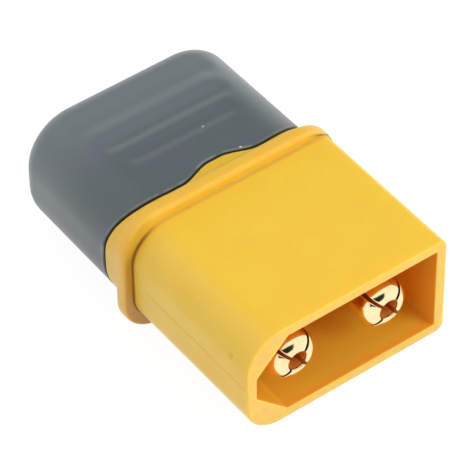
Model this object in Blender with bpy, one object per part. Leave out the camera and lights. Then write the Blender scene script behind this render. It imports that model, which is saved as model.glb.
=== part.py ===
"""Two-pole sheathed power plug: a keyed shroud with two slotted bullet contacts and a push-on wire sheath.

Metres, +Z up. The contacts lie along Y, the mating rim faces -Y and the wires leave at +Y.
The keyed end of the shroud is at -X. The origin is under the middle of the plug, on the
plane that its flange stands on.
"""

import math

import bmesh
import bpy
from mathutils import Matrix, Vector

# Contacts
PIN_PITCH = 0.0072
PIN_DIAMETER = 0.0035
PIN_SETBACK = 0.0004
TIP_DOME = 0.0007
TIP_LIP = 0.0001
PIN_BORE_DIAMETER = 0.0014
PIN_BORE_DEPTH = 0.0074
SLOT_WIDTH = 0.0002
SLOT_DEPTH = 0.0070
SHOULDER_DIAMETER = 0.0047
BARB_HEIGHT = 0.00015
BARB_LENGTH = 0.0009
BARB_PITCH = 0.0018
BARB_COUNT = 2
CUP_WALL = 0.0005
CUP_DEPTH = 0.0038
CUP_LENGTH = 0.0042
SCOOP_LENGTH = 0.0028
SCOOP_RISE = 0.0004

# Shroud and its keyed cavity
CAVITY_WIDTH = 0.0141
CAVITY_HEIGHT = 0.0066
CAVITY_DEPTH = 0.0090
KEY_CHAMFER = 0.0024
SHROUD_WALL = 0.00075
SHROUD_LENGTH = 0.01205
KEY_ROUND = 0.0026
PLAIN_ROUND = 0.0006
RIM_ROUND = 0.00012
FLOOR_THICKNESS = 0.0020

# Flange, the band behind it and the wave of its rear edge
FLANGE_STEP_X = 0.00065
FLANGE_STEP_Z = 0.00085
FLANGE_ROUND = 0.0031
FLANGE_THICKNESS = 0.00085
FLANGE_EDGE_BROAD = 0.00032
FLANGE_EDGE_FLANK = 0.00015
FLANGE_FILLET = 0.00012
FLANGE_BLEND = 0.0004
BAND_LENGTH = 0.0005
CROWN_RISE = 0.0007
CROWN_OFFSET = 0.0002
CROWN_FLAT = 0.0004
CROWN_FOOT = 0.0030
FLANK_RISE = 0.0014
FLANK_FLAT = 0.0002
FLANK_FOOT = 0.0090

# Wire sheath
SHEATH_INSET_X = 0.00045
SHEATH_INSET_Z = 0.00035
SHEATH_ROUND = 0.00405
SHEATH_LENGTH = 0.0112
SHEATH_WALL = 0.0009
SHEATH_DRAFT = 0.0001
SHEATH_END_ROUND = 0.0016
SHEATH_EDGE = 0.0001
WIRE_SLOT_WIDTH = 0.0116
WIRE_SLOT_HEIGHT = 0.0048
GRIP_COUNT = 3
GRIP_PITCH = 0.0023
GRIP_WIDTH = 0.0023
GRIP_LENGTH = 0.0120
GRIP_DEPTH = 0.0003
GRIP_FROM_END = 0.0026
GRIP_FADE = 0.0014
GRIP_SHORTENING = 0.3

# Spigot that the sheath is pushed over
SPIGOT_LENGTH = 0.0025
SPIGOT_EDGE = 0.0003
LATCH_WIDTH = 0.0050
LATCH_RADIUS = 0.0005
LATCH_PROUD = 0.00015

# Clearances
CONTACT_GAP = 0.0002
SEAM_GAP = 0.0002
SLIDE_GAP = 0.00025

# Fineness of the curves
CORNER_STEPS = 7
CROWN_STEPS = 12
FLANK_STEPS = 3
EDGE_STEPS = 2
BLEND_STEPS = 3
END_STEPS = 5
TURN_STEPS = 40
BORE_SIDES = 16
DOME_STEPS = 6
LATCH_SIDES = 8
GRIP_RING_STEP = 0.00028
SHARP_ANGLE = math.radians(38)

# How far a cut runs past the face that it opens
OVERRUN = 0.0005

# Sizes that follow from the ones above
SHROUD_HALF_W = CAVITY_WIDTH / 2 + SHROUD_WALL
SHROUD_HALF_H = CAVITY_HEIGHT / 2 + SHROUD_WALL
FLANGE_HALF_W = SHROUD_HALF_W + FLANGE_STEP_X
FLANGE_HALF_H = SHROUD_HALF_H + FLANGE_STEP_Z
SHEATH_HALF_W = FLANGE_HALF_W - SHEATH_INSET_X
SHEATH_HALF_H = FLANGE_HALF_H - SHEATH_INSET_Z
SPIGOT_INSET = SHEATH_WALL + SLIDE_GAP

FLANGE_BACK = SHROUD_LENGTH + FLANGE_THICKNESS
SEAM_Y = FLANGE_BACK + BAND_LENGTH
SPIGOT_END = SEAM_Y + FLANK_RISE + SPIGOT_LENGTH
SHEATH_END = SEAM_Y + SHEATH_LENGTH
SHOULDER_Y = CAVITY_DEPTH + FLOOR_THICKNESS + CONTACT_GAP
CUP_START = SPIGOT_END + CONTACT_GAP
CUP_END = CUP_START + CUP_LENGTH
PIN_R = PIN_DIAMETER / 2
SHOULDER_R = SHOULDER_DIAMETER / 2
BARB_R = SHOULDER_R + BARB_HEIGHT


def clear_scene():
    for old in list(bpy.data.objects):
        bpy.data.objects.remove(old, do_unlink=True)


def ease(t):
    """0 to 1 with level ends."""
    t = min(max(t, 0.0), 1.0)
    return t * t * (3.0 - 2.0 * t)


def quarter_turn(steps):
    """Angles from 0 to 90 degrees."""
    return [math.pi / 2 * i / steps for i in range(steps + 1)]


def outline(half_w, half_h, plain_round, key_round=None):
    """A rounded rectangle as (x, z) points; every outline has the same number, in the same order."""
    key_round = plain_round if key_round is None else key_round
    corners = ((1, 1, plain_round), (-1, 1, key_round), (-1, -1, key_round), (1, -1, plain_round))
    points = []
    for index, (side, level, radius) in enumerate(corners):
        centre = Vector((side * (half_w - radius), level * (half_h - radius)))
        for angle in quarter_turn(CORNER_STEPS):
            turn = angle + index * math.pi / 2
            points.append(centre + radius * Vector((math.cos(turn), math.sin(turn))))
        next_side, next_level, next_radius = corners[(index + 1) % 4]
        target = Vector((next_side * half_w, next_level * (half_h - next_radius)))
        steps = FLANK_STEPS
        if index % 2 == 0:
            target = Vector((next_side * (half_w - next_radius), next_level * half_h))
            steps = CROWN_STEPS
        start = points[-1]
        points += [start.lerp(target, i / steps) for i in range(1, steps)]
    return points


def keyed_outline(grow=0.0):
    """The outside of the shroud: two nearly square corners, two well rounded ones at the keyed end."""
    return outline(SHROUD_HALF_W + grow, SHROUD_HALF_H + grow, PLAIN_ROUND + grow, KEY_ROUND + grow)


def flange_outline(edge=0.0):
    """The flange's rim; edge 1 is the foot of its front rounding, which is wider on the broad faces."""
    side, level = FLANGE_EDGE_FLANK * edge, FLANGE_EDGE_BROAD * edge
    return outline(FLANGE_HALF_W - side, FLANGE_HALF_H - level, FLANGE_ROUND - level)


def sheath_outline(inset=0.0):
    return outline(SHEATH_HALF_W - inset, SHEATH_HALF_H - inset, SHEATH_ROUND - inset)


def ring(points, y):
    """One cross-section as 3-D points; y is a value or a function of x and z."""
    return [Vector((x, y(x, z) if callable(y) else y, z)) for x, z in points]


def seam(x, z):
    """Where the flange band ends and the sheath starts: a swell on each broad face and one on each flank."""
    crown = CROWN_RISE * ease((CROWN_FOOT - abs(x - CROWN_OFFSET)) / (CROWN_FOOT - CROWN_FLAT))
    reach = abs(z) + SHEATH_HALF_W - abs(x)
    flank = FLANK_RISE * ease((FLANK_FOOT - reach) / (FLANK_FOOT - FLANK_FLAT))
    return SEAM_Y + crown + flank


def wavy_ring(points, shift):
    """A cross-section whose points keep the seam's wave, taken at the sheath's own outline."""
    wave = [seam(x, z) + shift for x, z in sheath_outline()]
    return [Vector((x, y, z)) for (x, z), y in zip(points, wave)]


def draw_in(share):
    """A cross-section of the smooth step from the flange's rim down to the sheath's own outline."""
    points = [rim.lerp(foot, ease(share)) for rim, foot in zip(flange_outline(), sheath_outline())]
    return ring(points, FLANGE_BACK + FLANGE_BLEND * (share - 0.5))


def seam_top():
    return SEAM_Y + max(CROWN_RISE, FLANK_RISE)


def loft(name, rings, closed):
    """Skin equal rings with quads; the ends meet each other when closed, or else are capped."""
    bm = bmesh.new()
    rows = [[bm.verts.new(point) for point in points] for points in rings]
    pairs = list(zip(rows, rows[1:]))
    if closed:
        pairs.append((rows[-1], rows[0]))
    else:
        bm.faces.new(rows[0])
        bm.faces.new(reversed(rows[-1]))
    count = len(rows[0])
    for near, far in pairs:
        for i in range(count):
            j = (i + 1) % count
            bm.faces.new((near[i], far[i], far[j], near[j]))
    return to_object(name, bm)


def turned(name, profile, steps):
    """Turn a profile of (radius, y) points, axis to axis, round the Y axis."""
    bm = bmesh.new()
    verts = [bm.verts.new((radius, y, 0.0)) for radius, y in profile]
    edges = [bm.edges.new(pair) for pair in zip(verts, verts[1:])]
    bmesh.ops.spin(
        bm, geom=verts + edges, cent=(0, 0, 0), axis=(0, 1, 0), angle=math.tau, steps=steps, use_merge=True
    )
    bmesh.ops.remove_doubles(bm, verts=bm.verts, dist=1e-7)
    bmesh.ops.recalc_face_normals(bm, faces=bm.faces)
    return to_object(name, bm)


def block(name, low, high):
    bm = bmesh.new()
    bmesh.ops.create_cube(bm, size=1.0)
    low, high = Vector(low), Vector(high)
    bmesh.ops.scale(bm, vec=high - low, verts=bm.verts)
    bmesh.ops.translate(bm, vec=(low + high) / 2, verts=bm.verts)
    return to_object(name, bm)


def to_object(name, bm):
    mesh = bpy.data.meshes.new(name)
    bm.to_mesh(mesh)
    bm.free()
    mesh.shade_smooth()
    mesh.set_sharp_from_angle(angle=SHARP_ANGLE)
    obj = bpy.data.objects.new(name, mesh)
    bpy.context.collection.objects.link(obj)
    obj.parent = mating_axis
    return obj


def combine(target, tool, operation):
    """Boolean of a helper that isn't itself a piece."""
    modifier = target.modifiers.new(tool.name, "BOOLEAN")
    modifier.operation = operation
    modifier.solver = "EXACT"
    modifier.object = tool
    tool.hide_render = True
    tool.display_type = "WIRE"


def finish(obj, colour, roughness, metallic=0.0):
    material = bpy.data.materials.new(obj.name)
    material.use_nodes = True
    shader = material.node_tree.nodes["Principled BSDF"]
    shader.inputs["Base Color"].default_value = (*colour, 1.0)
    shader.inputs["Roughness"].default_value = roughness
    shader.inputs["Metallic"].default_value = metallic
    obj.data.materials.append(material)


def latch_bar(name, level, radius, width):
    """A round bar across the spigot, sunk so that its crest stands a little proud of the face."""
    spigot_half_h = SHEATH_HALF_H - SPIGOT_INSET
    bm = bmesh.new()
    bmesh.ops.create_cone(
        bm, cap_ends=True, segments=LATCH_SIDES, radius1=radius, radius2=radius, depth=width,
        matrix=Matrix.Rotation(math.pi / 2, 4, "Y"),
    )
    bar = to_object(name, bm)
    height = spigot_half_h + LATCH_PROUD - LATCH_RADIUS
    bar.location = (0, SPIGOT_END - SPIGOT_LENGTH / 2, level * height)
    return bar


def make_housing():
    """Shroud, flange and spigot, moulded in one, with the keyed cavity and a bore for each contact."""
    rings = [
        ring(keyed_outline(-RIM_ROUND), 0.0),
        ring(keyed_outline(), RIM_ROUND),
        ring(keyed_outline(), SHROUD_LENGTH - FLANGE_FILLET),
        ring(keyed_outline(FLANGE_FILLET), SHROUD_LENGTH),
    ]
    for angle in quarter_turn(EDGE_STEPS):
        back = FLANGE_EDGE_BROAD * (1 - math.cos(angle))
        rings.append(ring(flange_outline(1 - math.sin(angle)), SHROUD_LENGTH + back))
    rings += [draw_in(i / BLEND_STEPS) for i in range(BLEND_STEPS + 1)]
    rings += [
        wavy_ring(sheath_outline(), -SHEATH_EDGE),
        wavy_ring(sheath_outline(SHEATH_EDGE), 0.0),
        wavy_ring(sheath_outline(SPIGOT_INSET), 0.0),
        ring(sheath_outline(SPIGOT_INSET), SPIGOT_END - SPIGOT_EDGE),
        ring(sheath_outline(SPIGOT_INSET + SPIGOT_EDGE), SPIGOT_END),
    ]
    housing = loft("male_housing", rings, closed=False)
    for level in (-1, 1):
        combine(housing, latch_bar(f"latch_{level}", level, LATCH_RADIUS, LATCH_WIDTH), "UNION")
    combine(housing, cavity_cutter(), "DIFFERENCE")
    for side in (-1, 1):
        combine(housing, bore_cutter(side), "DIFFERENCE")
    finish(housing, (0.91, 0.58, 0.07), 0.42)
    return housing


def cavity_cutter():
    """The keyed socket: sharp corners at one end, two flat chamfers at the other."""
    half_w, half_h = CAVITY_WIDTH / 2, CAVITY_HEIGHT / 2
    section = [
        (half_w, half_h), (KEY_CHAMFER - half_w, half_h), (-half_w, half_h - KEY_CHAMFER),
        (-half_w, KEY_CHAMFER - half_h), (KEY_CHAMFER - half_w, -half_h), (half_w, -half_h),
    ]
    return loft("cavity", [ring(section, -OVERRUN), ring(section, CAVITY_DEPTH)], closed=False)


def bore_cutter(side):
    """Clears one contact: narrow through the cavity floor, wide behind its shoulder."""
    front, step, back = CAVITY_DEPTH - OVERRUN, SHOULDER_Y - CONTACT_GAP, SPIGOT_END + OVERRUN
    narrow, wide = PIN_R + CONTACT_GAP, BARB_R + CONTACT_GAP
    profile = [(0, front), (narrow, front), (narrow, step), (wide, step), (wide, back), (0, back)]
    bore = turned(f"bore_{side}", profile, BORE_SIDES)
    bore.location.x = side * PIN_PITCH / 2
    return bore


def contact_profile():
    """Bore floor, domed tip, shank, barbed shoulder and cup, as (radius, y) from axis to axis."""
    bore_r = PIN_BORE_DIAMETER / 2
    cup_r = SHOULDER_R - CUP_WALL
    lip_r = bore_r + TIP_LIP
    dome = [
        (lip_r + (PIN_R - lip_r) * math.sin(a), PIN_SETBACK + TIP_DOME * (1 - math.cos(a)))
        for a in quarter_turn(DOME_STEPS)
    ]
    profile = [(0, PIN_SETBACK + PIN_BORE_DEPTH), (bore_r, PIN_SETBACK + PIN_BORE_DEPTH)]
    profile += [(bore_r, PIN_SETBACK + TIP_LIP)] + dome
    profile += [(PIN_R, SHOULDER_Y), (SHOULDER_R, SHOULDER_Y)]
    for index in range(BARB_COUNT):
        start = SHOULDER_Y + BARB_LENGTH + BARB_PITCH * index
        crest = start + BARB_LENGTH
        profile += [(SHOULDER_R, start), (BARB_R, crest), (SHOULDER_R, crest + TIP_LIP)]
    cup_floor = CUP_END - CUP_DEPTH
    profile += [(SHOULDER_R, CUP_END), (cup_r, CUP_END), (cup_r, cup_floor), (0, cup_floor)]
    return profile


def make_contact(name, side):
    """One turned bullet contact: four petals round a bore in front, an open solder cup behind."""
    contact = turned(name, contact_profile(), TURN_STEPS)
    contact.location.x = side * PIN_PITCH / 2
    for index, angle in enumerate((math.pi / 4, -math.pi / 4)):
        slot = block(
            f"{name}_slot_{index}",
            (-PIN_DIAMETER, PIN_SETBACK - OVERRUN, -SLOT_WIDTH / 2),
            (PIN_DIAMETER, PIN_SETBACK + SLOT_DEPTH, SLOT_WIDTH / 2),
        )
        slot.location.x = side * PIN_PITCH / 2
        slot.rotation_euler.y = angle
        combine(contact, slot, "DIFFERENCE")
    scoop = block(
        f"{name}_scoop",
        (-SHOULDER_DIAMETER, CUP_END - SCOOP_LENGTH, SCOOP_RISE),
        (SHOULDER_DIAMETER, CUP_END + OVERRUN, SHOULDER_DIAMETER),
    )
    scoop.location.x = side * PIN_PITCH / 2
    combine(contact, scoop, "DIFFERENCE")
    finish(contact, (0.94, 0.72, 0.32), 0.16, metallic=1.0)
    return contact


def grip_depth(x, y):
    """How far the finger grooves sink the broad faces; each one forward is shorter and shallower."""
    depth = 0.0
    for index in range(GRIP_COUNT):
        forward = index / GRIP_COUNT
        centre = SHEATH_END - GRIP_FROM_END - index * GRIP_PITCH
        half_length = GRIP_LENGTH / 2 * (1 - GRIP_SHORTENING * forward)
        across = ease(1 - abs(y - centre) / (GRIP_WIDTH / 2))
        along = ease((half_length - abs(x)) / GRIP_FADE)
        depth += GRIP_DEPTH * (1 - forward ** 2) * across * along
    return depth


def sheath_ring(y, inset):
    """One outer cross-section of the sheath, drawn in toward its end and sunk by the grip grooves."""
    draft = SHEATH_DRAFT * (y - SEAM_Y) / SHEATH_LENGTH
    points = []
    for x, z in sheath_outline(draft + inset):
        points.append(Vector((x, y, z - math.copysign(grip_depth(x, y), z))))
    return points


def make_sheath():
    """The hollow push-on cover, one wall from its wavy front edge to the slot that the wires leave by."""
    inner = sheath_outline(SHEATH_WALL)
    front = seam_top() + SEAM_GAP + SHEATH_EDGE
    shoulder = SHEATH_END - SHEATH_END_ROUND
    count = math.ceil((shoulder - front) / GRIP_RING_STEP)
    rings = [wavy_ring(inner, SEAM_GAP), wavy_ring(sheath_outline(SHEATH_EDGE), SEAM_GAP)]
    rings.append(wavy_ring(sheath_outline(), SEAM_GAP + SHEATH_EDGE))
    rings += [sheath_ring(front + (shoulder - front) * i / count, 0.0) for i in range(1, count)]
    for angle in quarter_turn(END_STEPS):
        inset = SHEATH_END_ROUND * (1 - math.cos(angle))
        rings.append(sheath_ring(shoulder + SHEATH_END_ROUND * math.sin(angle), inset))
    slot = outline(WIRE_SLOT_WIDTH / 2, WIRE_SLOT_HEIGHT / 2, WIRE_SLOT_HEIGHT / 2 - SHEATH_EDGE)
    rings += [ring(slot, SHEATH_END), ring(slot, SHEATH_END - SHEATH_WALL)]
    inner_round = SHEATH_END_ROUND - SHEATH_WALL
    for angle in reversed(quarter_turn(EDGE_STEPS)):
        inset = SHEATH_WALL + inner_round * (1 - math.cos(angle))
        rings.append(ring(sheath_outline(inset), shoulder + inner_round * math.sin(angle)))
    sheath = loft("rear_sheath", rings, closed=True)
    finish(sheath, (0.13, 0.15, 0.17), 0.5)
    return sheath


clear_scene()

mating_axis = bpy.data.objects.new("mating_axis", None)
mating_axis.location = (0, -SHEATH_END / 2, FLANGE_HALF_H)
bpy.context.collection.objects.link(mating_axis)

make_housing()
make_contact("contact_left", -1)
make_contact("contact_right", 1)
make_sheath()
bpy.context.view_layer.update()
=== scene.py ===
"""Portrait of a sheathed male power plug: a yellow keyed shroud, two gold bullet contacts and a grey
wire sheath.

Metres, in the frame of the solid model: the mating rim faces -Y, the wires leave at +Y and +Z is up.
The keyed end of the shroud is at -X.
"""

import math

import bmesh
import bpy
from mathutils import Matrix, Vector


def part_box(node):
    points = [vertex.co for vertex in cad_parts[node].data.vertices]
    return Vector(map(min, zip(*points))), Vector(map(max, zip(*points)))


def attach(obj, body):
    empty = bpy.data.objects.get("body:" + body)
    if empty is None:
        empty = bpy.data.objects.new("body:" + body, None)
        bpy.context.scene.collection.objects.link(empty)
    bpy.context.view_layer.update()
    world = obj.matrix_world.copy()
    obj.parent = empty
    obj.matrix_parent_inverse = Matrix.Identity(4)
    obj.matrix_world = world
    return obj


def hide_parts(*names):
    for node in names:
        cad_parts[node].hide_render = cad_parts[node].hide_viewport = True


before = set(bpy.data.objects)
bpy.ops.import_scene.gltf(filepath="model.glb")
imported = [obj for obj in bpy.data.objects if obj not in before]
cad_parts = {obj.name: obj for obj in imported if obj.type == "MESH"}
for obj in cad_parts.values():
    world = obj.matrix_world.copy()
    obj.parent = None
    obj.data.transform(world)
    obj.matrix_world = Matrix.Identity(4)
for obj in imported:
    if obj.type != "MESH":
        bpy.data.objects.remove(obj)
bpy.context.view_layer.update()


# Yellow housing
# One injection moulding in dyed nylon: a keyed shroud, a wavy flange that the sheath butts against, and the
# spigot that the sheath is pushed over. Its skin is satin, and light goes a little way into it.

housing_low, housing_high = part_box("male_housing")
RIM_Y = housing_low.y
AXIS_Z = (housing_low.z + housing_high.z) / 2
FLANGE_HALF_W = (housing_high.x - housing_low.x) / 2
FLANGE_HALF_H = (housing_high.z - housing_low.z) / 2
SPIGOT_END = housing_high.y

SHROUD_HALF_W = 0.0078
SHROUD_HALF_H = 0.00405
SHROUD_WALL = 0.00075
SHROUD_LENGTH = 0.01205
KEY_ROUND = 0.0026
PLAIN_ROUND = 0.0006
RIM_ROUND = 0.00012

CAVITY_DEPTH = 0.0090
KEY_CHAMFER = 0.0024
CAVITY_FILLET = 0.00009
CAVITY_HALF_W = SHROUD_HALF_W - SHROUD_WALL
CAVITY_HALF_H = SHROUD_HALF_H - SHROUD_WALL
FLOOR_Y = RIM_Y + CAVITY_DEPTH
FLOOR_THICKNESS = 0.0020

FLANGE_THICKNESS = 0.00105
FLANGE_KEY_ROUND = 0.0028
FLANGE_PLAIN_ROUND = 0.0029
FLANGE_EDGE_BROAD = 0.00032
FLANGE_EDGE_FLANK = 0.00015
FLANGE_FILLET = 0.00012
FLANGE_BLEND = 0.0004
FLANGE_FRONT = RIM_Y + SHROUD_LENGTH
FLANGE_BACK = FLANGE_FRONT + FLANGE_THICKNESS

BAND_LENGTH = 0.0003
BAND_EDGE = 0.0001
SEAM_Y = FLANGE_BACK + BAND_LENGTH
CROWN_RISE = 0.0007
CROWN_OFFSET = 0.0002
CROWN_FLAT = 0.0004
CROWN_FOOT = 0.0030
FLANK_RISE = 0.0014
FLANK_FLAT = 0.0002
FLANK_FOOT = 0.0090

sheath_low, sheath_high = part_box("rear_sheath")
SHEATH_HALF_W = (sheath_high.x - sheath_low.x) / 2
SHEATH_HALF_H = (sheath_high.z - sheath_low.z) / 2
SHEATH_ROUND = 0.00385
SHEATH_WALL = 0.0009
SPIGOT_CLEARANCE = 0.00025
SPIGOT_INSET = SHEATH_WALL + SPIGOT_CLEARANCE
SPIGOT_EDGE = 0.0003
SPIGOT_LENGTH = 0.0025
LATCH_WIDTH = 0.0050
LATCH_RADIUS = 0.0005
LATCH_PROUD = 0.00015

PIN_PITCH = 0.0072
PIN_HOLE_R = 0.00195
SHOULDER_HOLE_R = 0.0027
SHOULDER_HOLE_Y = FLOOR_Y + FLOOR_THICKNESS
OVERRUN = 0.0005

PARTING_HEIGHT = 0.00018
PARTING_HALF = 0.00004
PARTING_PROUD = 0.00002

CORNER_STEPS = 20
BROAD_STEPS = 72
FLANK_STEPS = 16
ROUND_STEPS = 6
BLEND_STEPS = 10
TURN_STEPS = 96
MERGE_WITHIN = 1e-8
SHARP_ABOVE = math.radians(40)
LARGE_FACES_RULE = 100

YELLOW = (0.96, 0.625, 0.062)
# Paler edges of the rim and the flange: part wear, part painted highlight.
YELLOW_WEAR_AND_HIGHLIGHT = (0.80, 0.52, 0.20)
# Painted shade: from the flange's front face back, the same dye is painted darker.
FLANGE_PAINTED_SHADE = (0.85, 0.54, 0.05)
# Painted light and shade inside the cavity: redder toward the mouth for light that crosses the thin walls,
# darker and redder with depth, and a painted pool of light on the floor.
CAVITY_MOUTH_LIGHT_TINT = (0.97, 0.42, 0.03)
CAVITY_DEEP_SHADE = (0.98, 0.32, 0.015)
CAVITY_LIT = (1.0, 0.53, 0.045)
# Painted shade in the crevice where the shroud meets the flange.
CREVICE_PAINTED_SHADE = (0.34, 0.11, 0.006)
YELLOW_SOIL = (0.55, 0.27, 0.03)

PATCH_DETAIL = 3.0
PATCH_SPAN = (0.36, 0.64)
SCUFFS_TO_A_PATCH = 5.0
SCUFF_SPAN = (0.3, 0.6)

# Each mask's two ends, 0 and 1, counted from the wall, rim, floor or edge that it belongs to.
WALL_FADE = (0.0002, 0.0001)
FLOOR_FADE = (0.0004, 0.0002)
RIM_FADE = (0.00003, 0.00015)
LIT_HEIGHT = (0.0008, 0.0001)
LIT_FRONT = (0.0, 0.0009)
LIT_BACK = (0.0070, 0.0025)
EDGE_FADE = (-0.0001, 0.0)
CREVICE_RISE = (-0.00030, -0.00010)
CREVICE_FALL = (0.0, -0.00002)
FOOT_RISE = (-0.00005, 0.0)
FOOT_FALL = (0.00012, 0.00002)
KEYED_FADE = (0.0020, 0.0006)

PATCH_WARMTH = 0.12
RIM_WEAR_AND_HIGHLIGHT = 0.4
FLANGE_WEAR_AND_HIGHLIGHT = 0.15
FOOT_SHARE = 0.30
CREVICE_PLAIN = 0.18
CREVICE_KEYED = 0.75

NICK = (-SHROUD_HALF_W, RIM_Y + 0.00175, AXIS_Z + 0.0020)
NICK_RADIUS = 0.00028
NICK_SOIL = 0.5
NICK_GRAIN = 9000.0
NICK_SPAN = (0.35, 0.65)
SPOT_CORE = 0.6


def ease(t):
    """0 to 1 with level ends."""
    t = min(max(t, 0.0), 1.0)
    return t * t * (3.0 - 2.0 * t)


def quarter_turn(steps):
    """Even angles from 0 to 90 degrees."""
    return [math.pi / 2 * i / steps for i in range(steps + 1)]


def outline(half_w, half_h, plain_round, key_round=None):
    """A rounded rectangle of (x, z) points about the middle, always as many and in the same order."""
    key_round = plain_round if key_round is None else key_round
    corners = ((1, 1, plain_round), (-1, 1, key_round), (-1, -1, key_round), (1, -1, plain_round))
    points = []
    for index, (side, level, radius) in enumerate(corners):
        centre = Vector((side * (half_w - radius), level * (half_h - radius)))
        for angle in quarter_turn(CORNER_STEPS):
            turn = angle + index * math.pi / 2
            points.append(centre + radius * Vector((math.cos(turn), math.sin(turn))))
        next_side, next_level, next_radius = corners[(index + 1) % 4]
        target = Vector((next_side * half_w, next_level * (half_h - next_radius)))
        steps = FLANK_STEPS
        if index % 2 == 0:
            target = Vector((next_side * (half_w - next_radius), next_level * half_h))
            steps = BROAD_STEPS
        start = points[-1]
        points += [start.lerp(target, i / steps) for i in range(1, steps)]
    return points


def keyed_outline(grow=0.0):
    """The outside of the shroud: two nearly square corners, two well rounded ones at the keyed end."""
    return outline(SHROUD_HALF_W + grow, SHROUD_HALF_H + grow, PLAIN_ROUND + grow, KEY_ROUND + grow)


def flange_outline(edge=0.0):
    """The flange's rim; edge 1 is the foot of its front rounding, which is wider on the broad faces."""
    side, level = FLANGE_EDGE_FLANK * edge, FLANGE_EDGE_BROAD * edge
    return outline(
        FLANGE_HALF_W - side, FLANGE_HALF_H - level, FLANGE_PLAIN_ROUND - level, FLANGE_KEY_ROUND - level
    )


def sheath_outline(inset=0.0):
    """The outside of the sheath, or the same shape drawn in."""
    return outline(SHEATH_HALF_W - inset, SHEATH_HALF_H - inset, SHEATH_ROUND - inset)


def section(points, y):
    """An outline placed at y, about the contacts' plane."""
    return [Vector((x, y, z + AXIS_Z)) for x, z in points]


def seam(x, z):
    """Where the band ends and the sheath starts: a swell on each broad face and one on each flank."""
    crown = CROWN_RISE * ease((CROWN_FOOT - abs(x - CROWN_OFFSET)) / (CROWN_FOOT - CROWN_FLAT))
    reach = abs(z) + SHEATH_HALF_W - abs(x)
    flank = FLANK_RISE * ease((FLANK_FOOT - reach) / (FLANK_FOOT - FLANK_FLAT))
    return SEAM_Y + crown + flank


def wavy_section(points, shift):
    """A section whose points follow the seam's wave, as it runs on the sheath's own outline."""
    wave = [seam(x, z) + shift for x, z in sheath_outline()]
    return [Vector((x, y, z + AXIS_Z)) for (x, z), y in zip(points, wave)]


def draw_in(share):
    """A section of the smooth step from the flange's rim down to the band."""
    points = [rim.lerp(foot, ease(share)) for rim, foot in zip(flange_outline(), sheath_outline())]
    return section(points, FLANGE_BACK + FLANGE_BLEND * (share - 0.5))


def skin(sections, closed=False):
    """A ring of points, extruded from each section to the next. A closed skin ends where it starts.

    Every point keeps its number round the ring, and the number of its section.
    """
    bm = bmesh.new()
    station = bm.verts.layers.int.new("station")
    row = bm.verts.layers.int.new("row")
    ring = bmesh.ops.create_circle(bm, segments=len(sections[0]), radius=SHROUD_WALL)["verts"]
    for number, point in enumerate(ring):
        point[station] = number
        point.co = sections[0][number]
    edges = list(bm.edges)
    if not closed:
        bmesh.ops.edgeloop_fill(bm, edges=edges)
    for number, target in enumerate(sections[1:], start=1):
        grown = bmesh.ops.extrude_edge_only(bm, edges=edges)["geom"]
        points = {item for item in grown if isinstance(item, bmesh.types.BMVert)}
        edges = [item for item in grown if isinstance(item, bmesh.types.BMEdge) and set(item.verts) <= points]
        for point in points:
            point.co = target[point[station]]
            point[row] = number
    if closed:
        bmesh.ops.remove_doubles(bm, verts=bm.verts, dist=MERGE_WITHIN)
    else:
        bmesh.ops.edgeloop_fill(bm, edges=edges)
    bmesh.ops.recalc_face_normals(bm, faces=bm.faces)
    return bm


def turned(profile, x):
    """Turn a profile of (radius, y) points, axis to axis, round a line along Y."""
    bm = bmesh.new()
    points = [bm.verts.new((radius, y, 0)) for radius, y in profile]
    edges = [bm.edges.new(pair) for pair in zip(points, points[1:])]
    bmesh.ops.spin(
        bm, geom=points + edges, cent=(0, 0, 0), axis=(0, 1, 0), angle=math.tau, steps=TURN_STEPS,
        use_merge=True,
    )
    bmesh.ops.remove_doubles(bm, verts=bm.verts, dist=MERGE_WITHIN)
    bmesh.ops.recalc_face_normals(bm, faces=bm.faces)
    bmesh.ops.translate(bm, vec=(x, 0, AXIS_Z), verts=bm.verts)
    return bm


def as_object(name, bm):
    """Put a finished bmesh into the scene."""
    mesh = bpy.data.meshes.new(name)
    bm.to_mesh(mesh)
    bm.free()
    obj = bpy.data.objects.new(name, mesh)
    bpy.context.scene.collection.objects.link(obj)
    return obj


def block(name, low, high):
    """A plain block between two corners, for cutting or joining."""
    bm = bmesh.new()
    bmesh.ops.create_cube(bm, size=1.0)
    low, high = Vector(low), Vector(high)
    bmesh.ops.scale(bm, vec=high - low, verts=bm.verts)
    bmesh.ops.translate(bm, vec=(low + high) / 2, verts=bm.verts)
    return as_object(name, bm)


def settle(obj):
    """Turn the modifiers into mesh."""
    graph = bpy.context.evaluated_depsgraph_get()
    shaped = bpy.data.meshes.new_from_object(obj.evaluated_get(graph))
    obj.modifiers.clear()
    obj.data = shaped


def cut(target, tool, operation="DIFFERENCE"):
    """Combine with a helper, which then goes."""
    modifier = target.modifiers.new(tool.name, "BOOLEAN")
    modifier.operation = operation
    modifier.solver = "EXACT"
    modifier.object = tool
    settle(target)
    bpy.data.objects.remove(tool, do_unlink=True)


def round_edges(target, width, segments, above):
    """Round the edges that turn by more than an angle."""
    modifier = target.modifiers.new("edges", "BEVEL")
    modifier.width = width
    modifier.segments = segments
    modifier.limit_method = "ANGLE"
    modifier.angle_limit = above
    modifier.use_clamp_overlap = False
    settle(target)


def smooth(obj):
    """Shade smooth, with flat faces kept flat beside narrow roundings."""
    obj.data.shade_smooth()
    obj.data.set_sharp_from_angle(angle=SHARP_ABOVE)
    weighted = obj.modifiers.new("even_normals", "WEIGHTED_NORMAL")
    weighted.weight = LARGE_FACES_RULE
    weighted.keep_sharp = True


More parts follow.
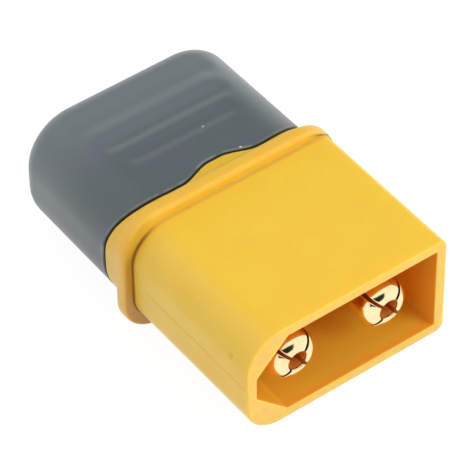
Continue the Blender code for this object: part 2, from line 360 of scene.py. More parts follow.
def housing_body():
    """The outside, from the rim back to the end of the spigot."""
    sections = []
    for angle in quarter_turn(ROUND_STEPS):
        inset = RIM_ROUND * (1 - math.sin(angle))
        sections.append(section(keyed_outline(-inset), RIM_Y + RIM_ROUND * (1 - math.cos(angle))))
    for angle in quarter_turn(ROUND_STEPS):
        grow = FLANGE_FILLET * (1 - math.cos(angle))
        sections.append(section(keyed_outline(grow), FLANGE_FRONT - FLANGE_FILLET * (1 - math.sin(angle))))
    for angle in quarter_turn(ROUND_STEPS):
        back = FLANGE_EDGE_BROAD * (1 - math.cos(angle))
        sections.append(section(flange_outline(1 - math.sin(angle)), FLANGE_FRONT + back))
    sections += [draw_in(i / BLEND_STEPS) for i in range(BLEND_STEPS + 1)]
    for angle in quarter_turn(ROUND_STEPS):
        inset = BAND_EDGE * (1 - math.cos(angle))
        sections.append(wavy_section(sheath_outline(inset), -BAND_EDGE * (1 - math.sin(angle))))
    sections += [
        wavy_section(sheath_outline(SPIGOT_INSET), 0.0),
        section(sheath_outline(SPIGOT_INSET), SPIGOT_END - SPIGOT_EDGE),
        section(sheath_outline(SPIGOT_INSET + SPIGOT_EDGE), SPIGOT_END),
    ]
    return as_object("housing_moulding", skin(sections))


def cavity_core():
    """The steel core that leaves the cavity: a plain block, chamfered along both edges of the keyed end."""
    bm = bmesh.new()
    bmesh.ops.create_cube(bm, size=1.0)
    bmesh.ops.scale(bm, vec=(2 * CAVITY_HALF_W, 2 * CAVITY_DEPTH, 2 * CAVITY_HALF_H), verts=bm.verts)
    bmesh.ops.translate(bm, vec=(0, RIM_Y, AXIS_Z), verts=bm.verts)
    keyed = [e for e in bm.edges if all(v.co.x < 0 for v in e.verts) and e.verts[0].co.y != e.verts[1].co.y]
    bmesh.ops.bevel(
        bm, geom=keyed, offset=KEY_CHAMFER, offset_type="OFFSET", segments=1, profile=0.5, affect="EDGES",
        material=-1,
    )
    return as_object("cavity_core", bm)


def contact_hole(x):
    """What clears one contact: narrow through the cavity floor, wide behind its shoulder."""
    front, back = FLOOR_Y - OVERRUN, SPIGOT_END + OVERRUN
    narrow = [(0, front), (PIN_HOLE_R, front), (PIN_HOLE_R, SHOULDER_HOLE_Y)]
    wide = [(SHOULDER_HOLE_R, SHOULDER_HOLE_Y), (SHOULDER_HOLE_R, back), (0, back)]
    return as_object("contact_hole", turned(narrow + wide, x))


def latch_bar(level):
    """A low round bar across the spigot, which the sheath snaps over."""
    bm = bmesh.new()
    bmesh.ops.create_cone(
        bm, cap_ends=True, segments=TURN_STEPS, radius1=LATCH_RADIUS, radius2=LATCH_RADIUS, depth=LATCH_WIDTH,
        matrix=Matrix.Rotation(math.pi / 2, 4, "Y"),
    )
    height = SHEATH_HALF_H - SPIGOT_INSET + LATCH_PROUD - LATCH_RADIUS
    middle = SPIGOT_END - SPIGOT_LENGTH / 2
    bmesh.ops.translate(bm, vec=(0, middle, AXIS_Z + level * height), verts=bm.verts)
    return as_object("latch_bar", bm)


def parting_line(side):
    """The hair-thin ridge where the two halves of the mould met, along a flank of the shroud."""
    edges = sorted((side * (SHROUD_HALF_W - PARTING_HALF), side * (SHROUD_HALF_W + PARTING_PROUD)))
    return block(
        "parting_line",
        (edges[0], RIM_Y + RIM_ROUND, AXIS_Z + PARTING_HEIGHT - PARTING_HALF),
        (edges[1], FLANGE_FRONT + RIM_ROUND, AXIS_Z + PARTING_HEIGHT + PARTING_HALF),
    )


def feed(tree, socket, value):
    """Give a socket a number, a colour or another node's output."""
    if isinstance(value, bpy.types.NodeSocket):
        tree.links.new(value, socket)
    elif socket.type == "RGBA" and len(value) == 3:
        socket.default_value = (*value, 1)
    else:
        socket.default_value = value


def fill(tree, node, **values):
    """Feed a node's sockets by name; spaces in a socket's name are written as underscores."""
    for socket, value in values.items():
        feed(tree, node.inputs[socket.replace("_", " ")], value)
    return node


def add(tree, kind, operation=None, **values):
    """A new shader node, filled."""
    node = tree.nodes.new(kind)
    if operation:
        node.operation = operation
    return fill(tree, node, **values)


def reckon(tree, operation, first, second=0.0):
    """One sum on two numbers or outputs."""
    node = add(tree, "ShaderNodeMath", operation)
    feed(tree, node.inputs[0], first)
    feed(tree, node.inputs[1], second)
    return node.outputs[0]


def overlap(tree, mask, *others):
    """What is left of a mask where it meets others, or of its strength where one is a plain share."""
    for other in others:
        mask = reckon(tree, "MULTIPLY", mask, other)
    return mask


def rise(tree, value, low, high, past=0.0):
    """0 at low, 1 at high and eased between, both counted from past; low may be the larger of the two."""
    node = add(tree, "ShaderNodeMapRange", Value=value, From_Min=past + low, From_Max=past + high)
    node.interpolation_type = "SMOOTHSTEP"
    return node.outputs["Result"]


def tint(tree, share, colour, other):
    """Colour at share 0, other at share 1."""
    node = add(tree, "ShaderNodeMix")
    node.data_type = "RGBA"
    sockets = {socket.identifier: socket for socket in node.inputs}
    feed(tree, sockets["Factor_Float"], share)
    feed(tree, sockets["A_Color"], colour)
    feed(tree, sockets["B_Color"], other)
    return next(socket for socket in node.outputs if socket.identifier == "Result_Color")


def cloud(tree, place, scale, detail=2.0):
    """Random soft patches, scale of them to a metre."""
    return add(tree, "ShaderNodeTexNoise", Vector=place, Scale=scale, Detail=detail).outputs["Fac"]


def where(tree):
    """The point on the object, whole and as x, y and height above the contacts' plane."""
    point = add(tree, "ShaderNodeTexCoord").outputs["Object"]
    parts = add(tree, "ShaderNodeSeparateXYZ", Vector=point).outputs
    return point, parts["X"], parts["Y"], reckon(tree, "SUBTRACT", parts["Z"], AXIS_Z)


def spot(tree, point, centre, radius):
    """1 within a small round mark, 0 outside it."""
    node = add(tree, "ShaderNodeVectorMath", "DISTANCE")
    feed(tree, node.inputs[0], point)
    feed(tree, node.inputs[1], centre)
    return rise(tree, node.outputs["Value"], radius, radius * SPOT_CORE)


def blank_material(name):
    """A new material, with its node tree and its shader."""
    material = bpy.data.materials.new(name)
    material.use_nodes = True
    return material, material.node_tree, material.node_tree.nodes["Principled BSDF"]


def nylon_skin():
    """The skin of a moulded nylon: uneven dye, fine grain from the mould and paler corners, which are part
    wear and part painted highlight.
    """
    tree = bpy.data.node_groups.new("nylon_skin", "ShaderNodeTree")
    sockets = {
        "INPUT": {
            "Colour": "Color", "Patch Colour": "Color", "Rubbed Colour": "Color", "Patch Scale": "Float",
            "Patches": "Float", "Grain Scale": "Float", "Rubbed": "Float", "Roughness": "Float",
            "Roughness Spread": "Float",
        },
        "OUTPUT": {"Colour": "Color", "Roughness": "Float", "Height": "Float"},
    }
    for way, names in sockets.items():
        for name, kind in names.items():
            tree.interface.new_socket(name=name, in_out=way, socket_type=f"NodeSocket{kind}")
    given = add(tree, "NodeGroupInput").outputs
    result = add(tree, "NodeGroupOutput").inputs
    point = add(tree, "ShaderNodeTexCoord").outputs["Object"]
    patches = cloud(tree, point, given["Patch Scale"], PATCH_DETAIL)
    patched = overlap(tree, rise(tree, patches, *PATCH_SPAN), given["Patches"])
    dyed = tint(tree, patched, given["Colour"], given["Patch Colour"])
    scuffs = cloud(tree, point, reckon(tree, "MULTIPLY", given["Patch Scale"], SCUFFS_TO_A_PATCH))
    wear_and_highlight = overlap(tree, rise(tree, scuffs, *SCUFF_SPAN), given["Rubbed"])
    feed(tree, result["Colour"], tint(tree, wear_and_highlight, dyed, given["Rubbed Colour"]))
    uneven = reckon(tree, "MULTIPLY", reckon(tree, "SUBTRACT", patches, 0.5), given["Roughness Spread"])
    feed(tree, result["Roughness"], reckon(tree, "ADD", given["Roughness"], uneven))
    feed(tree, result["Height"], cloud(tree, point, given["Grain Scale"], PATCH_DETAIL))
    return tree


nylon = nylon_skin()


def use_nylon(tree, **values):
    """Place the nylon skin with a material's own colours and values, and give its outputs."""
    node = add(tree, "ShaderNodeGroup")
    node.node_tree = nylon
    return fill(tree, node, **values).outputs


def yellow_nylon():
    """Dyed through. In the cavity the colour is painted light and shade: redder for light that has crossed
    the thin walls, darker with depth, lighter on the floor. The flange is painted darker, and the crevice
    before it gets painted shade.
    """
    material, tree, shader = blank_material("yellow_nylon")
    point, x, y, height = where(tree)
    off_middle, off_plane = reckon(tree, "ABSOLUTE", x), reckon(tree, "ABSOLUTE", height)
    off_key = reckon(tree, "SUBTRACT", off_plane, x)
    inside = overlap(
        tree,
        rise(tree, off_middle, *WALL_FADE, past=CAVITY_HALF_W),
        rise(tree, off_plane, *WALL_FADE, past=CAVITY_HALF_H),
        rise(tree, off_key, *WALL_FADE, past=CAVITY_HALF_W + CAVITY_HALF_H - KEY_CHAMFER),
        rise(tree, y, *RIM_FADE, past=RIM_Y),
        rise(tree, y, *FLOOR_FADE, past=FLOOR_Y),
    )
    # Painted pool of light on the cavity floor, a little way behind the mouth.
    lit = overlap(
        tree,
        rise(tree, height, *LIT_HEIGHT, past=-CAVITY_HALF_H),
        rise(tree, y, *LIT_FRONT, past=RIM_Y),
        rise(tree, y, *LIT_BACK, past=RIM_Y),
    )
    # The cavity's walls are painted from the mouth's redder tint to a darker shade at the floor.
    cavity_light_and_shade = tint(tree, rise(tree, y, RIM_Y, FLOOR_Y), CAVITY_MOUTH_LIGHT_TINT, CAVITY_DEEP_SHADE)
    cavity_light_and_shade = tint(tree, lit, cavity_light_and_shade, CAVITY_LIT)
    # Painted shade over the flange and the band behind it.
    outside = tint(tree, rise(tree, y, *EDGE_FADE, past=FLANGE_FRONT), YELLOW, FLANGE_PAINTED_SHADE)
    patch = tint(tree, PATCH_WARMTH, outside, CAVITY_MOUTH_LIGHT_TINT)
    rim = rise(tree, y, *reversed(RIM_FADE), past=RIM_Y)
    flange = reckon(
        tree, "MAXIMUM",
        rise(tree, off_plane, *EDGE_FADE, past=FLANGE_HALF_H),
        rise(tree, off_middle, *EDGE_FADE, past=FLANGE_HALF_W),
    )
    # Part wear, part painted highlight along the rim and the flange's edges.
    wear_and_highlight = reckon(
        tree, "MAXIMUM", overlap(tree, rim, RIM_WEAR_AND_HIGHLIGHT), overlap(tree, flange, FLANGE_WEAR_AND_HIGHLIGHT)
    )
    dye = use_nylon(
        tree, Colour=tint(tree, inside, outside, cavity_light_and_shade), Patch_Colour=tint(tree, inside, patch, cavity_light_and_shade),
        Rubbed_Colour=YELLOW_WEAR_AND_HIGHLIGHT, Patch_Scale=420.0, Patches=0.8, Grain_Scale=9000.0, Rubbed=wear_and_highlight,
        Roughness=0.40, Roughness_Spread=0.12,
    )
    ragged = rise(tree, cloud(tree, point, NICK_GRAIN), *NICK_SPAN)
    soil = overlap(tree, spot(tree, point, NICK, NICK_RADIUS), ragged, NICK_SOIL)
    # Painted shade in the crevice before the flange and at the foot of its front face, strongest on the keyed
    # side as a painted shadow of the shroud.
    root = overlap(
        tree,
        rise(tree, y, *CREVICE_RISE, past=FLANGE_FRONT),
        rise(tree, y, *CREVICE_FALL, past=FLANGE_FRONT),
    )
    foot = overlap(
        tree,
        rise(tree, y, *FOOT_RISE, past=FLANGE_FRONT),
        rise(tree, y, *FOOT_FALL, past=FLANGE_FRONT),
        FOOT_SHARE,
    )
    keyed = overlap(tree, rise(tree, x, *KEYED_FADE, past=-SHROUD_HALF_W), CREVICE_KEYED)
    crevice_shade = overlap(
        tree, reckon(tree, "MAXIMUM", root, foot), reckon(tree, "ADD", keyed, CREVICE_PLAIN)
    )
    soiled = tint(tree, soil, dye["Colour"], YELLOW_SOIL)
    bump = add(tree, "ShaderNodeBump", Strength=0.25, Distance=0.000008, Height=dye["Height"])
    fill(
        tree, shader,
        Base_Color=tint(tree, crevice_shade, soiled, CREVICE_PAINTED_SHADE),
        Roughness=reckon(tree, "MAXIMUM", dye["Roughness"], crevice_shade),
        Normal=bump.outputs["Normal"],
        IOR=1.53, Coat_Weight=0.12, Coat_Roughness=0.3,
        Subsurface_Weight=1.0, Subsurface_Radius=(1.0, 0.55, 0.15), Subsurface_Scale=0.0006,
    )
    return material


housing = housing_body()
cut(housing, cavity_core())
round_edges(housing, CAVITY_FILLET, segments=3, above=SHARP_ABOVE)
for side in (-1, 1):
    cut(housing, parting_line(side), "UNION")
for level in (-1, 1):
    cut(housing, latch_bar(level), "UNION")
for side in (-1, 1):
    cut(housing, contact_hole(side * PIN_PITCH / 2))
smooth(housing)
housing.data.materials.append(yellow_nylon())

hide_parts("male_housing")
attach(housing, "plug")


# Gold contacts
# Two bullet contacts, each turned from one brass rod and gold plated: a hollow pin slotted crosswise into
# four petals, a barbed shoulder that the nylon grips, and an open cup at the back for the soldered wire.

contact_low, contact_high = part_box("contact_left")
TIP_Y = contact_low.y
CUP_END = contact_high.y

PIN_R = 0.00175
TIP_DOME = 0.00095
CREST_R = 0.00079
CREST_LAND = 0.00002
LIP_DEPTH = 0.0001
BORE_R = 0.0007
BORE_DEPTH = 0.0074
BORE_END = TIP_Y + BORE_DEPTH
PETAL_EDGE = 0.0001
THINNEST_ROUNDED = 0.45
SLOT_WIDTH = 0.0002
SLOT_DEPTH = 0.0070
SLOT_END = TIP_Y + SLOT_DEPTH
PETAL_OVERLAP = 0.0002
PETAL_ROOT = SLOT_END + PETAL_OVERLAP

SHOULDER_GAP = 0.0002
SHOULDER_Y = SHOULDER_HOLE_Y + SHOULDER_GAP
SHOULDER_R = 0.00235
BARB_R = 0.0025
BARB_LENGTH = 0.0009
BARB_PITCH = 0.0018
BARB_COUNT = 2
CUP_R = 0.00185
CUP_DEPTH = 0.0038
CUP_FLOOR = CUP_END - CUP_DEPTH
CUP_EDGE = 0.00006
CUP_SHARP_ABOVE = math.radians(60)
SCOOP_LENGTH = 0.0028
SCOOP_RISE = 0.0004

EDGE_STEPS = 4
ARC_STEPS = 24
DOME_STEPS = 16

GOLD = (1.0, 0.86, 0.50)
GOLD_PINK = (1.0, 0.80, 0.44)
# Painted shade in the slots and the bore.
GOLD_SHADE = (0.80, 0.36, 0.10)
SLOT_PAINTED_SHADOW = (0.03, 0.015, 0.01)
BORE_PAINTED_SHADE = (0.95, 0.34, 0.04)

SLOT_FADE = (0.88 * SLOT_WIDTH, 0.74 * SLOT_WIDTH)
BORE_FADE = (0.00006, 0.00001)
MOUTH_FADE = (0.00008, 0.0003)
GOLD_PATCH_SCALE = 1500.0
GOLD_PATCH_SPAN = (0.4, 0.7)
SCUFF_SCALE = 6000.0
GOLD_ROUGHNESS = 0.08
SCUFF_ROUGHNESS = 0.10
DULL_ROUGHNESS = 0.4
BORE_METALLIC_LOSS = 0.6


def petal_section(inner, outer, y, rounding):
    """One petal's section across the pin: a quarter ring less the slots, with its four edges rounded."""
    rounding = min(rounding, (outer - inner) * THINNEST_ROUNDED)

    def place(radius, off_slot):
        return radius, math.pi / 4 - math.asin((SLOT_WIDTH / 2 + off_slot) / radius)

    half = []
    for angle in reversed(quarter_turn(EDGE_STEPS)):
        half.append(place(inner + rounding * (1 - math.sin(angle)), rounding * (1 - math.cos(angle))))
    for angle in quarter_turn(EDGE_STEPS):
        half.append(place(outer - rounding * (1 - math.sin(angle)), rounding * (1 - math.cos(angle))))
    outer_turn, inner_turn = half[-1][1], half[0][1]
    rim = [(outer, outer_turn * (1 - 2 * i / ARC_STEPS)) for i in range(1, ARC_STEPS)]
    bore = [(inner, inner_turn * (2 * i / ARC_STEPS - 1)) for i in range(1, ARC_STEPS)]
    ring = half + rim + [(radius, -turn) for radius, turn in reversed(half)] + bore
    return [Vector((radius * math.sin(turn), y, radius * math.cos(turn))) for radius, turn in ring]


def petal(x, quarter):
    """From the domed tip back into the solid shank."""
    sections = []
    for angle in quarter_turn(DOME_STEPS):
        back = TIP_DOME * (1 - math.cos(angle))
        outer = CREST_R + (PIN_R - CREST_R) * math.sin(angle)
        lip = 1 - min(back / LIP_DEPTH, 1.0)
        inner = BORE_R + (CREST_R - BORE_R) * (1 - math.sqrt(1 - lip * lip))
        sections.append(petal_section(inner, max(outer, inner + CREST_LAND), TIP_Y + back, PETAL_EDGE))
    sections.append(petal_section(BORE_R, PIN_R, PETAL_ROOT, PETAL_EDGE))
    bm = skin(sections)
    turn = Matrix.Rotation(quarter * math.pi / 2, 4, "Y")
    bmesh.ops.transform(bm, matrix=Matrix.Translation((x, 0, AXIS_Z)) @ turn, verts=bm.verts)
    return bm


def contact_shank(x):
    """The turned part, from the root of the petals to the rim of the solder cup."""
    profile = [(0, BORE_END), (BORE_R, BORE_END), (BORE_R, SLOT_END), (PIN_R, SLOT_END)]
    profile += [(PIN_R, SHOULDER_Y), (SHOULDER_R, SHOULDER_Y)]
    for index in range(BARB_COUNT):
        start = SHOULDER_Y + BARB_LENGTH + BARB_PITCH * index
        crest = start + BARB_LENGTH
        profile += [(SHOULDER_R, start), (BARB_R, crest), (SHOULDER_R, crest + CREST_LAND)]
    profile += [(SHOULDER_R, CUP_END), (CUP_R, CUP_END), (CUP_R, CUP_FLOOR), (0, CUP_FLOOR)]
    return turned(profile, x)


def scoop_tool(x):
    """The milled flat that opens the cup from above."""
    return block(
        "scoop",
        (x - 2 * SHOULDER_R, CUP_END - SCOOP_LENGTH, AXIS_Z + SCOOP_RISE),
        (x + 2 * SHOULDER_R, CUP_END + OVERRUN, AXIS_Z + SCOOP_RISE + 2 * SHOULDER_R),
    )


def gold_plating():
    """Bright plating over fine lathe rings; duller in the slots and the bore, which carry painted shade:
    brown in the bore and in one set of slots, near black in the other.
    """
    material, tree, shader = blank_material("gold_plating")
    point, x, y, height = where(tree)
    across = reckon(tree, "SUBTRACT", x, reckon(tree, "MULTIPLY", reckon(tree, "SIGN", x), PIN_PITCH / 2))
    radius = reckon(tree, "SQRT", reckon(
        tree, "ADD", reckon(tree, "POWER", reckon(tree, "ABSOLUTE", across), 2.0),
        reckon(tree, "POWER", reckon(tree, "ABSOLUTE", height), 2.0),
    ))
    forward = rise(tree, y, PETAL_ROOT, SLOT_END)
    slots = []
    for operation in ("ADD", "SUBTRACT"):
        off_slot = reckon(tree, "ABSOLUTE", reckon(tree, operation, across, height))
        slots.append(overlap(tree, rise(tree, off_slot, *SLOT_FADE), forward))
    in_bore = overlap(
        tree, rise(tree, radius, *BORE_FADE, past=BORE_R), rise(tree, y, *MOUTH_FADE, past=TIP_Y)
    )
    patches = rise(tree, cloud(tree, point, GOLD_PATCH_SCALE, PATCH_DETAIL), *GOLD_PATCH_SPAN)
    colour = tint(tree, patches, GOLD, GOLD_PINK)
    # Painted shade: one set of slots brown, the other near black, and the bore brown.
    for share, shade in zip((*slots, in_bore), (GOLD_SHADE, SLOT_PAINTED_SHADOW, BORE_PAINTED_SHADE)):
        colour = tint(tree, share, colour, shade)
    recessed = reckon(tree, "MAXIMUM", reckon(tree, "MAXIMUM", *slots), in_bore)
    dull = overlap(tree, recessed, DULL_ROUGHNESS)
    scuffed = reckon(tree, "ADD", dull, overlap(tree, cloud(tree, point, SCUFF_SCALE), SCUFF_ROUGHNESS))
    rings = add(tree, "ShaderNodeTexWave", Vector=point, Scale=9000.0, Distortion=1.5, Detail=2.0)
    rings.bands_direction = "Y"
    bump = add(tree, "ShaderNodeBump", Strength=0.15, Distance=0.000002, Height=rings.outputs["Fac"])
    fill(
        tree, shader,
        Base_Color=colour,
        Roughness=reckon(tree, "ADD", scuffed, GOLD_ROUGHNESS),
        Metallic=reckon(tree, "SUBTRACT", 1.0, overlap(tree, in_bore, BORE_METALLIC_LOSS)),
        Normal=bump.outputs["Normal"],
    )
    return material


gold = gold_plating()
for name, node, side in (("bullet_keyed_end", "contact_left", -1), ("bullet_square_end", "contact_right", 1)):
    x = side * PIN_PITCH / 2
    contact = as_object(name, contact_shank(x))
    cut(contact, scoop_tool(x))
    round_edges(contact, CUP_EDGE, segments=2, above=CUP_SHARP_ABOVE)
    whole = bmesh.new()
    whole.from_mesh(contact.data)
    for quarter in range(4):
        part = petal(x, quarter)
        loose = bpy.data.meshes.new("petal")
        part.to_mesh(loose)
        part.free()
        whole.from_mesh(loose)
        bpy.data.meshes.remove(loose)
    whole.to_mesh(contact.data)
    whole.free()
    smooth(contact)
    contact.data.materials.append(gold)
    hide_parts(node)
    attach(contact, "plug")


# Grey sheath
# A hollow nylon moulding, pushed over the spigot after soldering. Its mould was spark eroded, so its skin is
# finely matte. Both broad faces have shallow finger grooves, and the rear wall a slot for the two wires.

SHEATH_END = sheath_high.y
SHEATH_DRAFT = 0.0001
SHEATH_END_ROUND = 0.0016
SHEATH_EDGE = 0.0001
SEAM_GAP = 0.0002
WIRE_SLOT_WIDTH = 0.0116
WIRE_SLOT_HEIGHT = 0.0048
SLOT_ROUND = 0.0002

GRIPS_FROM_END = (0.0028, 0.0053, 0.0072)
GRIP_WIDTHS = (0.0030, 0.0020, 0.0018)
GRIP_LENGTH = 0.0120
GRIP_DEPTH = 0.0003
GRIP_FADE = 0.0014
GRIP_SHORTENING = 0.3
GRIP_RING_STEP = 0.00014

LIP_ROWS = (0, 1)
CORNER_ROWS = range(3, 2 + ROUND_STEPS)

GREY = (0.062, 0.090, 0.097)
# Painted light: the rear part of the sheath is painted lighter.
GREY_REAR_PAINTED_LIGHT = (0.130, 0.162, 0.172)
GREY_PATCH = (0.070, 0.083, 0.104)
# Painted highlight on the rounding of the front edge, broken up by the scuff pattern.
GREY_EDGE_HIGHLIGHT = (0.16, 0.18, 0.19)
FLECK = (0.60, 0.62, 0.62)
SEAM_SHADE = (0.005, 0.005, 0.005)
REAR_LIGHT_FROM = RIM_Y + 0.0165
REAR_LIGHT_SHARE = 0.8
FLECK_PLACES = ((0.0015, RIM_Y + 0.0171), (0.0022, RIM_Y + 0.0140))
FLECK_RADIUS = 0.00010


def grip_depth(x, y):
    """How far the grooves sink the broad faces; each one forward is narrower, shorter and shallower."""
    depth = 0.0
    for index, (from_end, width) in enumerate(zip(GRIPS_FROM_END, GRIP_WIDTHS)):
        forward = index / len(GRIPS_FROM_END)
        half_length = GRIP_LENGTH / 2 * (1 - GRIP_SHORTENING * forward)
        across = ease(1 - abs(y - (SHEATH_END - from_end)) / (width / 2))
        along = ease((half_length - abs(x)) / GRIP_FADE)
        depth += GRIP_DEPTH * (1 - forward ** 2) * across * along
    return depth


def sheath_section(y, inset):
    """One outer section, drawn in toward the end by the mould's draft and sunk by the grooves."""
    draft = SHEATH_DRAFT * (y - SEAM_Y) / (SHEATH_END - SEAM_Y)
    points = []
    for x, z in sheath_outline(draft + inset):
        points.append(Vector((x, y, AXIS_Z + z - math.copysign(grip_depth(x, y), z))))
    return points


def sheath_body():
    """Round the wall in one go: front lip, outside, rounded end, wire slot and back along the inside."""
    inner = sheath_outline(SHEATH_WALL)
    sections = [wavy_section(inner, SEAM_GAP)]
    for angle in quarter_turn(ROUND_STEPS):
        inset = SHEATH_EDGE * (1 - math.sin(angle))
        sections.append(wavy_section(sheath_outline(inset), SEAM_GAP + SHEATH_EDGE * (1 - math.cos(angle))))
    sections.append(wavy_section(sheath_outline(), SEAM_GAP + 2 * SHEATH_EDGE))
    front = SEAM_Y + max(CROWN_RISE, FLANK_RISE) + SEAM_GAP + SHEATH_EDGE
    shoulder = SHEATH_END - SHEATH_END_ROUND
    count = math.ceil((shoulder - front) / GRIP_RING_STEP)
    sections += [sheath_section(front + (shoulder - front) * i / count, 0.0) for i in range(1, count)]
    for angle in quarter_turn(2 * ROUND_STEPS):
        inset = SHEATH_END_ROUND * (1 - math.cos(angle))
        sections.append(sheath_section(shoulder + SHEATH_END_ROUND * math.sin(angle), inset))
    slot_round = WIRE_SLOT_HEIGHT / 2 - SHEATH_EDGE
    for angle in quarter_turn(ROUND_STEPS):
        grow = SLOT_ROUND * (1 - math.sin(angle))
        points = outline(WIRE_SLOT_WIDTH / 2 + grow, WIRE_SLOT_HEIGHT / 2 + grow, slot_round + grow)
        sections.append(section(points, SHEATH_END - SLOT_ROUND * (1 - math.cos(angle))))
    slot = outline(WIRE_SLOT_WIDTH / 2, WIRE_SLOT_HEIGHT / 2, slot_round)
    sections.append(section(slot, SHEATH_END - SHEATH_WALL))
    inner_round = SHEATH_END_ROUND - SHEATH_WALL
    for angle in reversed(quarter_turn(ROUND_STEPS)):
        inset = SHEATH_WALL + inner_round * (1 - math.cos(angle))
        sections.append(section(sheath_outline(inset), shoulder + inner_round * math.sin(angle)))
    sections += [wavy_section(inner, SEAM_GAP + 2 * SHEATH_EDGE), sections[0]]
    bm = skin(sections, closed=True)
    row = bm.verts.layers.int["row"]
    for tag, rows in (("lip", LIP_ROWS), ("corner", CORNER_ROWS)):
        layer = bm.verts.layers.float.new(tag)
        for point in bm.verts:
            point[layer] = float(point[row] in rows)
    return as_object("wire_sheath", bm)


def tagged(tree, name):
    """The mask that the mesh's points carry under a name."""
    node = add(tree, "ShaderNodeAttribute")
    node.attribute_name = name
    return node.outputs["Fac"]


def grey_nylon():
    """Dyed dark grey, greener and bluer by turns, with painted light toward the rear, a painted highlight on
    the front edge, painted shade on the lip in the seam and two pale flecks on top.
    """
    material, tree, shader = blank_material("grey_nylon")
    point, _, along, _ = where(tree)
    # The corner rows take the painted edge highlight.
    dye = use_nylon(
        tree, Colour=GREY, Patch_Colour=GREY_PATCH, Rubbed_Colour=GREY_EDGE_HIGHLIGHT, Patch_Scale=260.0,
        Patches=1.0, Grain_Scale=11000.0, Rubbed=tagged(tree, "corner"), Roughness=0.54,
        Roughness_Spread=0.15,
    )
    flecks = reckon(tree, "MAXIMUM", *[
        spot(tree, point, (x, y, AXIS_Z + SHEATH_HALF_H - grip_depth(x, y)), FLECK_RADIUS)
        for x, y in FLECK_PLACES
    ])
    # Painted light, rising toward the rear.
    rear_light = rise(tree, along, REAR_LIGHT_FROM, SHEATH_END - SHEATH_END_ROUND)
    colour = tint(tree, overlap(tree, rear_light, REAR_LIGHT_SHARE), dye["Colour"], GREY_REAR_PAINTED_LIGHT)
    colour = tint(tree, tagged(tree, "lip"), colour, SEAM_SHADE)
    bump = add(tree, "ShaderNodeBump", Strength=0.8, Distance=0.000025, Height=dye["Height"])
    fill(
        tree, shader,
        Base_Color=tint(tree, flecks, colour, FLECK),
        Roughness=dye["Roughness"],
        Normal=bump.outputs["Normal"],
        IOR=1.53, Coat_Weight=0.35, Coat_Roughness=0.4, Sheen_Weight=0.3, Sheen_Roughness=0.5,
    )
    return material


sheath = sheath_body()
smooth(sheath)
sheath.data.materials.append(grey_nylon())

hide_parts("rear_sheath")
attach(sheath, "sheath")


# Table, light and camera
# A white table under broad soft light, seen with a long lens from above the keyed front corner. Two dark
# cards give the gold and the nylon something dark to reflect, as the unlit parts of a studio do.

TABLE_REACH = 1.5
TABLE_SEEN = 0.94
TABLE_SHADOW = 0.11
PAPER = (0.85, 0.85, 0.85)
PAPER_FIBRE = (0.87, 0.87, 0.87)
PAPER_GRAIN = 40.0
ROOM_LIGHT = 0.45
CARD_BLACK = (0.01, 0.01, 0.01)


def seen_directly(tree):
    """1 where the camera sees something, in a mirror or through glass too."""
    path = add(tree, "ShaderNodeLightPath").outputs
    direct = reckon(tree, "MAXIMUM", path["Is Camera Ray"], path["Is Glossy Ray"])
    return reckon(tree, "MAXIMUM", direct, path["Is Transmission Ray"])


def show_apart(tree, lighting, shown, output):
    """Let one shader light the plug and another be seen."""
    mix = add(tree, "ShaderNodeMixShader", Fac=seen_directly(tree))
    feed(tree, mix.inputs[1], lighting.outputs[0])
    feed(tree, mix.inputs[2], shown.outputs[0])
    feed(tree, tree.nodes[output].inputs["Surface"], mix.outputs[0])


def white_paper():
    """Seen, it glows evenly and takes the plug's shadow; for the plug, it is plain matte paper."""
    material, tree, shader = blank_material("white_paper")
    grain = cloud(tree, add(tree, "ShaderNodeTexCoord").outputs["Object"], PAPER_GRAIN)
    paper = tint(tree, grain, PAPER, PAPER_FIBRE)
    fill(tree, shader, Base_Color=paper, Roughness=0.9, Specular_IOR_Level=0.0)
    glow = add(tree, "ShaderNodeEmission", Color=(1, 1, 1), Strength=TABLE_SEEN)
    shadow = add(tree, "ShaderNodeBsdfDiffuse", Color=(TABLE_SHADOW, TABLE_SHADOW, TABLE_SHADOW))
    both = add(tree, "ShaderNodeAddShader")
    feed(tree, both.inputs[0], glow.outputs[0])
    feed(tree, both.inputs[1], shadow.outputs[0])
    show_apart(tree, shader, both, "Material Output")
    return material


sheet = bmesh.new()
bmesh.ops.create_grid(sheet, x_segments=1, y_segments=1, size=TABLE_REACH)
table = as_object("table", sheet)
table.data.materials.append(white_paper())

room = bpy.data.worlds.new("studio")
room.use_nodes = True
bpy.context.scene.world = room
air = room.node_tree
dim = fill(air, air.nodes["Background"], Color=(1, 1, 1), Strength=ROOM_LIGHT)
white = add(air, "ShaderNodeBackground", Color=(1, 1, 1), Strength=1.0)
show_apart(air, dim, white, "World Output")


def softbox(name, place, size, power):
    """A square lamp turned to the plug; metal and gloss don't mirror it."""
    light = bpy.data.lights.new(name, "AREA")
    light.shape = "SQUARE"
    light.size = size
    light.energy = power
    lamp = bpy.data.objects.new(name, light)
    lamp.location = place
    lamp.rotation_euler = (Vector((0, 0, AXIS_Z)) - Vector(place)).to_track_quat("-Z", "Y").to_euler()
    lamp.visible_glossy = False
    bpy.context.scene.collection.objects.link(lamp)


def black_paper():
    """Dull black card."""
    material, tree, shader = blank_material("black_paper")
    fill(tree, shader, Base_Color=CARD_BLACK, Roughness=1.0)
    return material


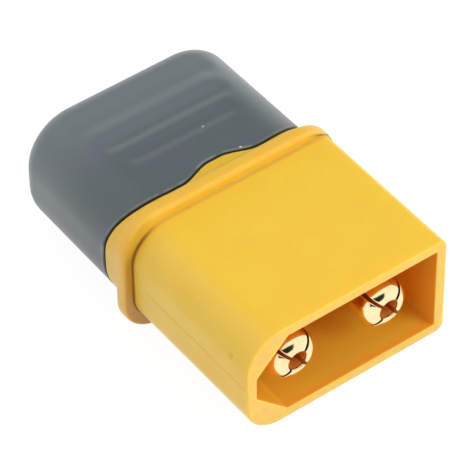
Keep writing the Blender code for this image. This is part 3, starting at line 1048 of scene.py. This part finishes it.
def dark_card(name, place, width, height):
    """A dark part of the room, which shows only as a reflection in the plating and the nylon."""
    bm = bmesh.new()
    bmesh.ops.create_grid(bm, x_segments=1, y_segments=1, size=0.5)
    bmesh.ops.scale(bm, vec=(width, height, 1), verts=bm.verts)
    turn = Vector(place).to_track_quat("Z", "Y").to_matrix().to_4x4()
    bmesh.ops.transform(bm, matrix=Matrix.Translation(place) @ turn, verts=bm.verts)
    card = as_object(name, bm)
    card.visible_camera = False
    card.visible_diffuse = False
    card.visible_transmission = False
    card.visible_shadow = False
    card.data.materials.append(black_paper())


dark_card("front_card", place=(-0.09, -0.28, 0.09), width=0.36, height=0.23)
dark_card("rear_card", place=(0.27, 0.36, 0.46), width=0.60, height=0.60)
softbox("overhead_softbox", place=(0.05, 0.12, 0.55), size=0.45, power=0.86)
softbox("rear_softbox", place=(-0.05, 0.55, 0.30), size=0.35, power=0.7)
softbox("left_softbox", place=(-0.50, -0.05, 0.25), size=0.35, power=0.35)
softbox("key_softbox", place=(0.28, -0.47, 0.27), size=0.32, power=2.1)

# The image and the focal length are in pixels, the sensor in millimetres, the rest in metres and radians.
IMAGE = 474
FOCAL = 3383.2
SENSOR = 36.0
TURN = math.radians(-36.38)
TILT = math.radians(45.46)
ROLL = math.radians(-0.628)
DISTANCE = 0.21008
OFF_CENTRE = (-0.006888, 0.006330)
VIEW_END = 10.0

back = Vector((math.sin(TURN) * math.cos(TILT), -math.cos(TURN) * math.cos(TILT), math.sin(TILT)))
sideways = Vector((math.cos(TURN), math.sin(TURN), 0))
upright = back.cross(sideways)
right = math.cos(ROLL) * sideways + math.sin(ROLL) * upright
up = math.cos(ROLL) * upright - math.sin(ROLL) * sideways
eye = Vector((0, RIM_Y, AXIS_Z)) + right * OFF_CENTRE[0] + up * OFF_CENTRE[1] + back * DISTANCE

camera = bpy.data.objects.new("camera", bpy.data.cameras.new("camera"))
camera.data.sensor_width = SENSOR
camera.data.lens = FOCAL * SENSOR / IMAGE
camera.data.clip_end = VIEW_END
camera.matrix_world = Matrix.Translation(eye) @ Matrix((right, up, back)).transposed().to_4x4()
bpy.context.scene.collection.objects.link(camera)
bpy.context.scene.camera = camera

bpy.context.scene.view_settings.view_transform = "Standard"
